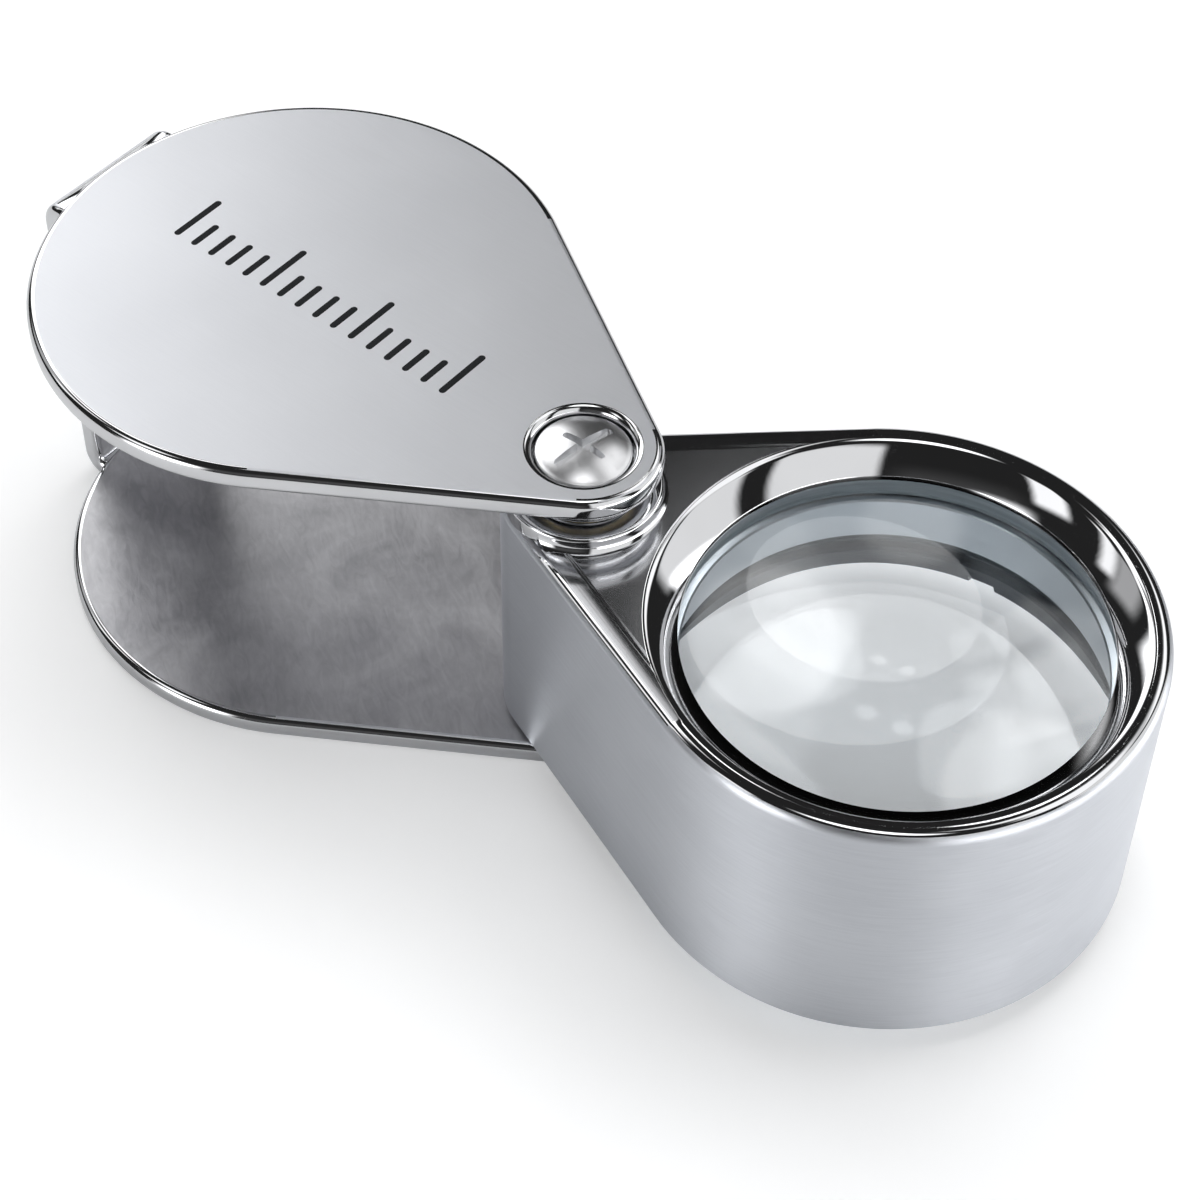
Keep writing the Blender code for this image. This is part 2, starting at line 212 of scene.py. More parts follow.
# Round lamps: azimuth, elevation, radius and edge softness in degrees, then brightness
LAMPS = {
    "overhead": (0.0, 90.0, 10.0, 3.0, 2.6),
    "lamp_a": (123.1, 49.5, 1.5, 0.2, 2.6),
    "lamp_b": (114.7, 51.7, 1.5, 0.2, 2.6),
}

# Fineness of the meshes
BIG_ARC_STEPS = 160
NOSE_ARC_STEPS = 72
TURN_STEPS = 192
SMALL_TURN_STEPS = 96
BEND_STEPS = 16
LENS_STEPS = 32
HOLE_STEPS = 32
FILLET_STEPS = 8
CROWN_STEPS = 6
SHARP_ANGLE = 32.0
WELD_DISTANCE = 1e-8

# How far cutters reach past what they cut, and how near a face is to a surface that it lies on
CUT_PAST = 1.0 * MM
ON_SURFACE = 0.01 * MM

# How far a face's normal points up: above FLAT the face is level, above NEARLY_LEVEL it slopes a
# little, and below STEEP it is a wall
FLAT = 0.999
NEARLY_LEVEL = 0.98
STEEP = 0.78


# ---------------------------------------------------------------- outlines and meshes

def arc(centre, radius, start, end, steps):
    """Points along an arc, both ends included, angles in degrees."""
    points = []
    for i in range(steps + 1):
        angle = math.radians(start + (end - start) * i / steps)
        points.append((centre[0] + radius * math.cos(angle), centre[1] + radius * math.sin(angle)))
    return points


def teardrop(big_x, big_r, nose_r):
    """Outline round a nose circle at the origin and a big circle at big_x, joined by their tangents."""
    direction = math.copysign(1.0, big_x)
    tangent = math.degrees(math.acos(-(big_r - nose_r) / abs(big_x)))
    big = arc((abs(big_x), 0.0), big_r, -tangent, tangent, BIG_ARC_STEPS)
    nose = arc((0.0, 0.0), nose_r, tangent, 360.0 - tangent, NOSE_ARC_STEPS)
    return [(direction * x, y) for x, y in big[:-1] + nose[:-1]]


def stadium(length, width, centre, steps=10):
    """A slot's outline with round ends. It runs along Y."""
    radius = width / 2
    reach = length / 2 - radius
    points = arc((centre[0], centre[1] + reach), radius, 0, 180, steps)
    return points + arc((centre[0], centre[1] - reach), radius, 180, 360, steps)


def edge_section(low, high, low_edge, high_edge):
    """(inset, height) pairs down the side of a plate with rounded edges."""
    section = []
    for x, z in arc((high_edge, high - high_edge), high_edge, 90, 180, FILLET_STEPS):
        section.append((x, z))
    for x, z in arc((low_edge, low + low_edge), low_edge, 180, 270, FILLET_STEPS):
        section.append((x, z))
    return section


def add_mesh(name, vertices, faces):
    """A new object whose coinciding points are joined and whose faces point out."""
    mesh = bpy.data.meshes.new(name)
    mesh.from_pydata(vertices, [], faces)
    work = bmesh.new()
    work.from_mesh(mesh)
    bmesh.ops.remove_doubles(work, verts=work.verts, dist=WELD_DISTANCE)
    bmesh.ops.recalc_face_normals(work, faces=work.faces)
    work.to_mesh(mesh)
    work.free()
    obj = bpy.data.objects.new(name, mesh)
    bpy.context.scene.collection.objects.link(obj)
    return obj


def loft(name, rings, ends="capped"):
    """Quads between rings of equal length. The ends are capped, open or joined to each other."""
    count = len(rings[0])
    vertices = [point for ring in rings for point in ring]
    faces = []
    spans = len(rings) if ends == "joined" else len(rings) - 1
    for i in range(spans):
        here = i * count
        there = (i + 1) % len(rings) * count
        for j in range(count):
            k = (j + 1) % count
            faces.append((here + j, here + k, there + k, there + j))
    if ends == "capped":
        faces.append(tuple(range(count)))
        faces.append(tuple(range((len(rings) - 1) * count, len(rings) * count)))
    return add_mesh(name, vertices, faces)


def plate(name, outline_at, section):
    """A plate whose outline is outline_at(inset) at each height of the section."""
    rings = [[(x, y, height) for x, y in outline_at(inset)] for inset, height in section]
    return loft(name, rings)


def turned(name, profile, steps=TURN_STEPS, ends="open"):
    """A profile of (radius, height) points turned about Z. An open one starts and ends on the axis."""
    rings = []
    for radius, height in profile:
        ring = []
        for i in range(steps):
            angle = math.tau * i / steps
            ring.append((radius * math.cos(angle), radius * math.sin(angle), height))
        rings.append(ring)
    return loft(name, rings, ends)


def cylinder(name, radius, low, high, steps=SMALL_TURN_STEPS):
    return turned(name, [(0.0, high), (radius, high), (radius, low), (0.0, low)], steps)


def slot_cutter(name, length, width, centre, high, low, taper):
    """A round-ended slot that narrows by taper at its floor."""
    top = [(x, y, high) for x, y in stadium(length, width, centre)]
    floor = [(x, y, low) for x, y in stadium(length - 2 * taper, width - 2 * taper, centre)]
    return loft(name, [top, floor])


def join(name, objects):
    """One object made of the others, which are removed."""
    work = bmesh.new()
    for obj in objects:
        work.from_mesh(obj.data)
        bpy.data.objects.remove(obj, do_unlink=True)
    mesh = bpy.data.meshes.new(name)
    work.to_mesh(mesh)
    work.free()
    joined = bpy.data.objects.new(name, mesh)
    bpy.context.scene.collection.objects.link(joined)
    return joined


def settle(obj):
    """Replaces the object's mesh by its evaluated one."""
    bpy.context.view_layer.update()
    evaluated = obj.evaluated_get(bpy.context.evaluated_depsgraph_get())
    mesh = bpy.data.meshes.new_from_object(evaluated)
    obj.modifiers.clear()
    obj.data = mesh


def combine(obj, operation, *others):
    """Applies a Boolean with each of the others, which are then removed."""
    for other in others:
        boolean = obj.modifiers.new("combine", "BOOLEAN")
        boolean.operation = operation
        boolean.solver = "EXACT"
        boolean.object = other
        settle(obj)
        bpy.data.objects.remove(other, do_unlink=True)


def shift(obj, matrix):
    """Moves the mesh and leaves the object at the origin."""
    obj.data.transform(matrix)
    return obj


def smooth(obj):
    """Smooth shading in which large flat faces stay flat."""
    obj.data.shade_smooth()
    obj.data.set_sharp_from_angle(angle=math.radians(SHARP_ANGLE))
    weighted = obj.modifiers.new("weighted", "WEIGHTED_NORMAL")
    weighted.keep_sharp = True
    weighted.weight = 100
    settle(obj)


def paint(obj, materials, choose=None):
    """One material, or the one whose index choose(centre, normal) gives for each face."""
    obj.data.materials.clear()
    for material in materials:
        obj.data.materials.append(material)
    for polygon in obj.data.polygons:
        polygon.material_index = choose(polygon.center, polygon.normal) if choose else 0


# ---------------------------------------------------------------- materials

class Surface:
    """A material with a Principled shader, and short calls for the nodes that feed it."""

    def __init__(self, name, metallic=1.0):
        self.material = bpy.data.materials.new(name)
        self.material.use_nodes = True
        self.tree = self.material.node_tree
        self.shader = self.tree.nodes["Principled BSDF"]
        self.shader.inputs["Metallic"].default_value = metallic

    def add(self, kind):
        return self.tree.nodes.new(kind)

    def link(self, output, socket):
        self.tree.links.new(output, socket)

    def feed(self, name, output):
        self.link(output, self.shader.inputs[name])

    def place(self, scale=(1.0, 1.0, 1.0), turn=0.0):
        """Object coordinates, turned about Z and then stretched."""
        source = self.add("ShaderNodeTexCoord")
        rotate = self.add("ShaderNodeVectorRotate")
        rotate.rotation_type = "Z_AXIS"
        rotate.inputs["Angle"].default_value = math.radians(turn)
        stretch = self.add("ShaderNodeMapping")
        stretch.inputs["Scale"].default_value = scale
        self.link(source.outputs["Object"], rotate.inputs["Vector"])
        self.link(rotate.outputs["Vector"], stretch.inputs["Vector"])
        return stretch.outputs["Vector"]

    def noise(self, vector, scale=1.0, detail=3.0, rough=0.5, distortion=0.0):
        node = self.add("ShaderNodeTexNoise")
        node.inputs["Scale"].default_value = scale
        node.inputs["Detail"].default_value = detail
        node.inputs["Roughness"].default_value = rough
        node.inputs["Distortion"].default_value = distortion
        self.link(vector, node.inputs["Vector"])
        return node.outputs["Fac"]

    def spread(self, value, low, high, start=0.3, end=0.7):
        node = self.add("ShaderNodeMapRange")
        node.inputs["From Min"].default_value = start
        node.inputs["From Max"].default_value = end
        node.inputs["To Min"].default_value = low
        node.inputs["To Max"].default_value = high
        self.link(value, node.inputs["Value"])
        return node.outputs["Result"]

    def tint(self, value, dark, light, start=0.3, end=0.7):
        node = self.add("ShaderNodeValToRGB")
        node.color_ramp.elements[0].position = start
        node.color_ramp.elements[0].color = (*dark, 1.0)
        node.color_ramp.elements[1].position = end
        node.color_ramp.elements[1].color = (*light, 1.0)
        self.link(value, node.inputs["Fac"])
        return node.outputs["Color"]

    def bump(self, height, distance, under=None):
        node = self.add("ShaderNodeBump")
        node.inputs["Distance"].default_value = distance
        self.link(height, node.inputs["Height"])
        if under is not None:
            self.link(under, node.inputs["Normal"])
        return node.outputs["Normal"]

    def add_share(self, first, second, share):
        """first, plus second times share."""
        node = self.add("ShaderNodeMath")
        node.operation = "MULTIPLY_ADD"
        node.inputs[1].default_value = share
        self.link(second, node.inputs[0])
        self.link(first, node.inputs[2])
        return node.outputs["Value"]


def brushed(name, dark, light, rough, grain, depth):
    """Metal with a fine grain, in cycles a metre along X, Y and Z."""
    s = Surface(name)
    fine = s.noise(s.place(grain), detail=4.0, rough=0.6)
    broad = s.noise(s.place(), 90.0, detail=2.0)
    s.feed("Base Color", s.tint(s.add_share(broad, fine, 0.35), dark, light, 0.35, 0.85))
    s.feed("Roughness", s.spread(fine, rough[0], rough[1]))
    s.feed("Normal", s.bump(fine, depth))
    return s.material


def turned_satin(name, dark, light, rough):
    """Satin with its grain round the piece, so that highlights spread up and down."""
    s = Surface(name)
    grain = s.noise(s.place((500.0, 500.0, 9000.0)), detail=4.0, rough=0.6)
    broad = s.noise(s.place(), 90.0, detail=2.0)
    tangent = s.add("ShaderNodeTangent")
    tangent.direction_type = "RADIAL"
    tangent.axis = "Z"
    s.feed("Base Color", s.tint(s.add_share(broad, grain, 0.6), dark, light, 0.45, 1.0))
    s.feed("Roughness", s.spread(grain, rough[0], rough[1]))
    s.feed("Normal", s.bump(grain, 0.5e-6))
    s.feed("Tangent", tangent.outputs["Tangent"])
    s.shader.inputs["Anisotropic"].default_value = 0.75
    s.shader.inputs["Anisotropic Rotation"].default_value = 0.25
    return s.material


def polished(name, colour, rough, speckle):
    """Plated mirror finish with a faint ripple and a few fine specks."""
    s = Surface(name)
    ripple = s.noise(s.place(), 260.0, detail=2.0)
    specks = s.noise(s.place(), 5200.0, detail=2.0, rough=0.7)
    s.feed("Base Color", s.tint(ripple, tuple(0.95 * value for value in colour), colour))
    s.feed("Roughness", s.spread(specks, rough, rough + speckle, 0.56, 0.72))
    s.feed("Normal", s.bump(specks, 0.2e-6, under=s.bump(ripple, 0.8e-6)))
    return s.material


def mottled(name):
    """The dull inside of the sheet: cloudy plating with short swirling marks."""
    s = Surface(name)
    cloud = s.noise(s.place(), 210.0, detail=5.0, rough=0.62, distortion=0.8)
    swirl = s.noise(s.place((700.0, 2000.0, 700.0), 35.0), detail=4.0, distortion=1.8)
    blend = s.add_share(cloud, swirl, 0.45)
    s.feed("Base Color", s.tint(blend, (0.40, 0.40, 0.42), (0.66, 0.66, 0.68), 0.5, 1.0))
    s.feed("Roughness", s.spread(blend, 0.30, 0.46, 0.5, 1.0))
    s.feed("Normal", s.bump(swirl, 5e-6))
    return s.material


def glass(name):
    """Clear lens glass. Rays to the lights pass straight through it."""
    s = Surface(name, metallic=0.0)
    s.shader.inputs["Base Color"].default_value = (0.975, 0.99, 1.0, 1.0)
    s.shader.inputs["IOR"].default_value = 1.52
    s.shader.inputs["Transmission Weight"].default_value = 1.0
    dust = s.noise(s.place(), 5200.0, detail=2.0)
    s.feed("Roughness", s.spread(dust, 0.0, 0.015, 0.62, 0.8))
    path = s.add("ShaderNodeLightPath")
    clear = s.add("ShaderNodeBsdfTransparent")
    clear.inputs["Color"].default_value = (0.70, 0.73, 0.76, 1.0)
    blend = s.add("ShaderNodeMixShader")
    output = s.tree.nodes["Material Output"]
    s.link(path.outputs["Is Shadow Ray"], blend.inputs["Fac"])
    s.link(s.shader.outputs["BSDF"], blend.inputs[1])
    s.link(clear.outputs["BSDF"], blend.inputs[2])
    s.link(blend.outputs["Shader"], output.inputs["Surface"])
    return s.material


def ground_glass(name, dark, light):
    """A lens's ground edge."""
    s = Surface(name, metallic=0.0)
    grains = s.noise(s.place(), 2600.0, detail=4.0)
    streak = s.noise(s.place((150.0, 150.0, 4200.0)), detail=3.0)
    s.feed("Base Color", s.tint(streak, dark, light))
    s.feed("Roughness", s.spread(grains, 0.35, 0.6))
    s.feed("Normal", s.bump(grains, 6e-6))
    return s.material


def ink(name):
    """Matt black fill."""
    s = Surface(name, metallic=0.0)
    grains = s.noise(s.place(), 9000.0, detail=3.0)
    s.feed("Base Color", s.tint(grains, (0.004, 0.005, 0.006), (0.016, 0.017, 0.019)))
    s.shader.inputs["Specular IOR Level"].default_value = 0.15
    s.feed("Roughness", s.spread(grains, 0.45, 0.7))
    s.feed("Normal", s.bump(grains, 5e-6))
    return s.material


def floor_material():
    """Pale floor that glows a little, but only for the camera and through the lenses."""
    s = Surface("studio_floor", metallic=0.0)
    cloud = s.noise(s.place(), 8.0, detail=2.0)
    s.feed("Base Color", s.tint(cloud, (0.78, 0.785, 0.79), (0.82, 0.825, 0.83)))
    s.feed("Roughness", s.spread(cloud, 0.45, 0.55))
    s.shader.inputs["Specular IOR Level"].default_value = 0.25
    s.shader.inputs["Emission Color"].default_value = (1.0, 1.0, 1.0, 1.0)
    glow = s.add("ShaderNodeMath")
    glow.operation = "MULTIPLY"
    glow.inputs[1].default_value = FLOOR_GLOW
    path = s.add("ShaderNodeLightPath")
    seen = s.add("ShaderNodeMath")
    seen.operation = "MAXIMUM"
    s.link(path.outputs["Is Camera Ray"], seen.inputs[0])
    s.link(path.outputs["Is Transmission Ray"], seen.inputs[1])
    s.link(seen.outputs["Value"], glow.inputs[0])
    s.feed("Emission Strength", glow.outputs["Value"])
    return s.material


def make_materials():
    plate_grain = (500.0, 16000.0, 500.0)
    turned_grain = (450.0, 450.0, 9000.0)
    satin = ((0.76, 0.775, 0.81), (0.84, 0.855, 0.89))
    wall = ((0.58, 0.60, 0.64), (0.72, 0.74, 0.78))
    spacer = ((0.62, 0.67, 0.71), (0.74, 0.79, 0.83))
    # Near-black turned metal for the retaining ring and the housing's bore below the seat: painted
    # shade for the depths of the bore
    ring = ((0.10, 0.11, 0.12), (0.20, 0.21, 0.23))
    steel = ((0.42, 0.43, 0.45), (0.52, 0.53, 0.55))
    brass = ((0.50, 0.38, 0.16), (0.62, 0.49, 0.24))
    ground = ((0.36, 0.42, 0.46), (0.50, 0.57, 0.61))
    # The lower lens's ground edge is a darker copy of the upper one's: painted shade for its place
    # deeper in the bore
    ground_painted_shade = ((0.16, 0.19, 0.21), (0.28, 0.32, 0.35))
    return {
        "satin": brushed("satin_face", *satin, (0.39, 0.46), plate_grain, 0.5e-6),
        "wall": turned_satin("satin_wall", *wall, (0.36, 0.46)),
        "mirror": polished("polished_chrome", (0.68, 0.685, 0.70), 0.03, 0.06),
        "edge": polished("polished_edge", (0.72, 0.725, 0.74), 0.06, 0.05),
        "dull": mottled("unpolished_inside"),
        # The housing's top face is a darker copy of the polished chrome: painted shade for its dark
        # reflection, with a rougher finish
        "deck": polished("deck_chrome_painted_shade", (0.48, 0.485, 0.50), 0.12, 0.03),
        "screw": polished("screw_chrome", (0.82, 0.825, 0.84), 0.28, 0.08),
        "glass": glass("lens_glass"),
        "ground": ground_glass("ground_edge", *ground),
        "ground_painted_shade": ground_glass("ground_edge_lower_painted_shade", *ground_painted_shade),
        "spacer": brushed("spacer_turned", *spacer, (0.30, 0.45), turned_grain, 2e-6),
        "ring": brushed("ring_turned_painted_shade", *ring, (0.25, 0.40), turned_grain, 2e-6),
        "steel": brushed("pivot_steel", *steel, (0.25, 0.40), turned_grain, 1.5e-6),
        "brass": brushed("washer_brass", *brass, (0.28, 0.42), turned_grain, 1.5e-6),
        "ink": ink("engraving_ink"),
    }


# ---------------------------------------------------------------- measures from the frame

def measure(frame):
    """Where the pivot, the cheeks, the lens and the holder are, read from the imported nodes."""
    shell_low, shell_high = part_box("case_shell")
    lens_low, lens_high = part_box("upper_lens")
    housing_low, housing_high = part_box("lens_housing")
    lower_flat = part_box("lower_lens")[0].z
    spacer_low, spacer_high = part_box("lens_spacer")
    ring_low, ring_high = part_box("retaining_ring")
    pivot = Vector(frame["joints"][0]["pos_m"])
    lens = (lens_low + lens_high) / 2 - pivot
    lens.z = 0.0
    turn = math.atan2(lens.y, lens.x)
    at_pivot = Matrix.Translation(pivot)
    return {
        "case": at_pivot,
        "holder": at_pivot @ Matrix.Rotation(turn, 4, "Z"),
        "top": shell_high.z,
        "cheek_x": -pivot.x,
        "cheek_r": (shell_high.y - shell_low.y) / 2,
        "cheek_nose_r": shell_high.x - pivot.x,
        "strap_x": pivot.x - shell_low.x,
        "lens_x": lens.length,
        "housing_r": housing_high.x - pivot.x - lens.x,
        "foot": housing_low.z,
        "boss_top": housing_high.z,
        "deck": housing_high.z - BOSS_RISE,
        "upper_flat": lens_high.z,
        "lower_flat": lower_flat,
        "spacer": (spacer_low.z, spacer_high.z),
        "ring": (ring_low.z, ring_high.z),
    }


# ---------------------------------------------------------------- case

def strap_outline(m, inset):
    """The strap's U seen along Y, round the pivot, as (x, z) pairs."""
    high = m["top"] - STRAP_STEP - inset
    low = STRAP_STEP + inset
    inner_high = m["top"] - SHEET + STRAP_STEP + inset
    inner_low = SHEET - STRAP_STEP - inset
    outer = -m["strap_x"] + inset
    inner = SHEET - m["strap_x"] - inset
    leg = STRAP_LEG - m["strap_x"] - inset
    big = BEND_OUTER_R - inset
    small = BEND_INNER_R + inset
    outline = [(leg, high)]
    outline += arc((outer + big, high - big), big, 90, 180, BEND_STEPS)
    outline += arc((outer + big, low + big), big, 180, 270, BEND_STEPS)
    outline += [(leg, low), (leg, inner_low)]
    outline += arc((inner + small, inner_low + small), small, 270, 180, FILLET_STEPS)
    outline += arc((inner + small, inner_high - small), small, 180, 90, FILLET_STEPS)
    outline += [(leg, inner_high)]
    return outline


def make_strap(m):
    half = STRAP_WIDTH / 2
    rings = []
    for inset, along in edge_section(-half, half, STRAP_EDGE, STRAP_EDGE):
        rings.append([(x, along, z) for x, z in strap_outline(m, inset)])
    return loft("strap", rings)


def make_dish(m):
    """The metal pressed down under the upper cheek, before it is hollowed."""
    root = m["top"] - DISH_ROOT
    bottom = m["top"] - DISH_DROP
    corner = (DISH_OUTER_R - DISH_OUTER_EDGE, bottom + DISH_OUTER_EDGE)
    profile = [(0.0, root), (DISH_OUTER_R, root), (DISH_OUTER_R, m["top"] - SHEET)]
    profile += arc(corner, DISH_OUTER_EDGE, 0, -90, FILLET_STEPS)
    profile += [(0.0, bottom)]
    return turned("dish", profile, SMALL_TURN_STEPS)


def make_recess(m):
    """The dish's hollow: a rounded rim, a straight wall, a flat floor and the hole for the shank."""
    top = m["top"]
    floor = top - DISH_DEPTH
    below = top - DISH_DROP - CUT_PAST
    rim = DISH_R + DISH_RIM
    hole = SHANK_R + DISH_HOLE_GAP
    profile = [(0.0, top + CUT_PAST), (rim, top + CUT_PAST), (rim, top + RIM_LIFT)]
    profile += arc((rim, top - DISH_RIM), DISH_RIM, 92, 178, FILLET_STEPS)[1:]
    profile += [(DISH_R, floor + DISH_FLOOR_EDGE), (DISH_R - DISH_FLOOR_EDGE, floor)]
    profile += [(hole, floor), (hole, below), (0.0, below)]
    return turned("recess", profile, SMALL_TURN_STEPS)


def make_nut_sink():
    """The countersunk hole for the nut in the lower cheek."""
    hole_r = SLEEVE_R + RUNNING_GAP
    head_r = SLEEVE_HEAD_R + RUNNING_GAP
    slope = (head_r - hole_r) / SLEEVE_HEAD_DEPTH
    profile = [
        (0.0, SHEET + CUT_PAST),
        (hole_r, SHEET + CUT_PAST),
        (hole_r, SLEEVE_HEAD_DEPTH),
        (head_r + slope * CUT_PAST, -CUT_PAST),
        (0.0, -CUT_PAST),
    ]
    return turned("nut_sink", profile, SMALL_TURN_STEPS)


def scale_slots(name, high, low, shrink, taper):
    """The scale's ticks, from low to high and shrunk all round, as one object."""
    slots = []
    for i in range(TICK_COUNT):
        length = LONG_TICK if i % LONG_TICK_EVERY == 0 else SHORT_TICK
        centre = (-TICK_START - i * TICK_PITCH, (length - LONG_TICK) / 2)
        width = TICK_WIDTH - 2 * shrink
        slots.append(slot_cutter(name, length - 2 * shrink, width, centre, high, low, taper))
    return join(name, slots)


def make_case(m, finish):
    def outline_at(inset):
        return teardrop(m["cheek_x"], m["cheek_r"] - inset, m["cheek_nose_r"] - inset)

    top = m["top"]
    upper = edge_section(top - SHEET, top, CHEEK_EDGE, CHEEK_EDGE)
    lower = edge_section(0.0, SHEET, CHEEK_EDGE, CHEEK_EDGE)
    case = plate("case_sheet", outline_at, upper)
    combine(case, "UNION", plate("lower_cheek", outline_at, lower), make_strap(m), make_dish(m))
    grooves = scale_slots("grooves", top + TICK_LIFT, top - TICK_DEPTH, 0.0, TICK_TAPER)
    combine(case, "DIFFERENCE", make_recess(m), make_nut_sink(), grooves)

    def choose(centre, normal):
        out = math.hypot(centre.x, centre.y)
        upright = abs(normal.z)
        top_side = centre.z > top - STRAP_STEP - ON_SURFACE
        under_side = centre.z < STRAP_STEP + ON_SURFACE
        in_dish = out < DISH_OUTER_R + DISH_REACH and centre.z > top - DISH_DEPTH - ON_SURFACE
        strap_inside = normal.x > 0.9 and centre.x < -m["strap_x"] + SHEET + STRAP_REACH
        past_cheek = math.hypot(centre.x - m["cheek_x"], centre.y) > m["cheek_r"]
        strap_back = past_cheek and normal.x < 0.5 and abs(normal.y) < 0.3
        if upright > FLAT and (top_side or under_side):
            return 0
        if in_dish and normal.z > -0.5:
            return 1
        if upright > FLAT or strap_inside:
            return 2
        return 0 if strap_back else 1

    smooth(case)
    paint(case, [finish["satin"], finish["edge"], finish["dull"]], choose)
    ink_low = top - TICK_DEPTH + INK_LIFT
    inlay = scale_slots("engraved_scale", top - INK_DROP, ink_low, INK_GAP, INK_TAPER)
    smooth(inlay)
    paint(inlay, [finish["ink"]])
    return case, inlay


# ---------------------------------------------------------------- pivot

def make_screw(m, finish):
    """The screw with its domed head, whose cross recess has one long and one short arm."""
    floor = m["top"] - DISH_DEPTH
    rim = m["top"] - HEAD_RIM_DROP
    dome_r = (HEAD_R**2 + DOME_RISE**2) / (2 * DOME_RISE)
    dome_centre = rim + DOME_RISE - dome_r
    shank_end = m["top"] - SHANK_REACH
    profile = []
    for i in range(DOME_STEPS + 1):
        radius = DOME_SHARE * HEAD_R * i / DOME_STEPS
        profile.append((radius, dome_centre + math.sqrt(dome_r**2 - radius**2)))
    edge_z = profile[-1][1]
    edge = HEAD_R - profile[-1][0]
    profile += arc((HEAD_R - edge, edge_z - edge), edge, HEAD_EDGE_START, 0, HEAD_EDGE_STEPS)
    profile += [(HEAD_R, floor + SEAT_GAP), (SHANK_R, floor + SEAT_GAP)]
    profile += [(SHANK_R, shank_end + SHANK_CHAMFER), (SHANK_R - SHANK_CHAMFER, shank_end)]
    profile += [(0.0, shank_end)]
    screw = turned("screw_body", profile, SMALL_TURN_STEPS)
    high = rim + DOME_RISE + CUT_PAST
    low = rim + DOME_RISE - ARM_DEPTH
    arms = (LONG_ARM, LONG_ARM_WIDTH, LONG_ARM_TURN), (SHORT_ARM, SHORT_ARM_WIDTH, 90.0)
    for length, width, turn in arms:
        arm = slot_cutter("arm", length, width, (0.0, 0.0), high, low, ARM_TAPER)
        combine(screw, "DIFFERENCE", shift(arm, Matrix.Rotation(math.radians(turn), 4, "Z")))
    smooth(screw)
    paint(screw, [finish["screw"]])
    return screw


def make_nut(m, finish):
    """The sleeve that the screw goes into, with two spanner holes in its countersunk head."""
    top = m["top"] - DISH_DROP - SEAT_GAP
    bore_r = SHANK_R + SHANK_BORE_GAP
    bore_end = m["top"] - SHANK_BORE_REACH
    face = SEAT_GAP
    profile = [(0.0, bore_end), (bore_r, bore_end), (bore_r, top), (SLEEVE_R, top)]
    profile += [(SLEEVE_R, SLEEVE_HEAD_DEPTH), (SLEEVE_HEAD_R, face + SLEEVE_HEAD_EDGE)]
    profile += [(SLEEVE_HEAD_R - SLEEVE_HEAD_EDGE, face), (0.0, face)]
    nut = turned("nut_body", profile, SMALL_TURN_STEPS)
    for side in (-1, 1):
        hole = cylinder("spanner_hole", SPANNER_HOLE_R, -CUT_PAST, SPANNER_HOLE_DEPTH, HOLE_STEPS)
        place = Matrix.Translation((0.0, side * SPANNER_HOLE_OUT, 0.0))
        combine(nut, "DIFFERENCE", shift(hole, place))
    smooth(nut)
    paint(nut, [finish["steel"]])
    return nut


def washer(name, inner_r, outer_r, low, high, material):
    """A flat ring with chamfered edges."""
    chamfer = (high - low) / 4
    profile = [(inner_r, high - chamfer), (inner_r + chamfer, high), (outer_r - chamfer, high)]
    profile += [(outer_r, high - chamfer), (outer_r, low + chamfer), (outer_r - chamfer, low)]
    profile += [(inner_r + chamfer, low), (inner_r, low + chamfer)]
    ring = turned(name, profile, SMALL_TURN_STEPS, ends="joined")
    smooth(ring)
    paint(ring, [material])
    return ring


def make_washers(finish):
    """Two flat washers and a wave washer, keyed by the nodes whose height they keep."""
    hole_r = SLEEVE_R + RUNNING_GAP
    pieces = {}
    for node in ("upper_washer", "lower_washer"):
        low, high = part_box(node)
        pieces[node] = washer(node + "_ring", hole_r, WASHER_R, low.z, high.z, finish["brass"])
    low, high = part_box("wave_washer")
    middle = (low.z + high.z) / 2
    low, high = middle - WAVE_HALF, middle + WAVE_HALF
    wave = washer("wave_spring", hole_r, WASHER_R, low, high, finish["steel"])
    for vertex in wave.data.vertices:
        angle = math.atan2(vertex.co.y, vertex.co.x)
        vertex.co.z += WAVE_HALF * math.cos(WAVE_COUNT * angle)
    pieces["wave_washer"] = wave
    return pieces


# ---------------------------------------------------------------- holder

def bore_profile(m):
    """Half section of what the casting leaves open, from the bezel cone down to the lower bezel."""
    cone = math.degrees(math.atan2(BEZEL_R - LIP_R, BEZEL_DEPTH))
    turn_end = 180 - cone
    tangent = BEZEL_EDGE * math.tan(math.radians((turn_end - 90) / 2))
    deck = m["deck"]
    centre = (BEZEL_R + tangent, deck - BEZEL_EDGE)
    rounding = arc(centre, BEZEL_EDGE, 90, turn_end, FILLET_STEPS)
    first, second = rounding[:2]
    past = (2 * first[0] - second[0], 2 * first[1] - second[1])
    lip = deck - BEZEL_DEPTH
    seat = lip - LIP_DEPTH
    shoulder = m["lower_flat"] - SHOULDER_GAP
    sink = m["foot"] + LOWER_BEZEL_DEPTH
    slope = (BEZEL_R - THREAD_R) / LOWER_BEZEL_DEPTH
    return [
        (0.0, deck + CUT_PAST),
        (past[0], deck + CUT_PAST),
        past,
        *rounding[1:],
        (LIP_R + LIP_EDGE, lip + LIP_EDGE),
        (LIP_R, lip - LIP_EDGE),
        (LIP_R, seat),
        (BORE_R, seat),
        (BORE_R, shoulder),
        (THREAD_R, shoulder),
        (THREAD_R, sink),
        (BEZEL_R + slope * CUT_PAST, m["foot"] - CUT_PAST),
        (0.0, m["foot"] - CUT_PAST),
    ]


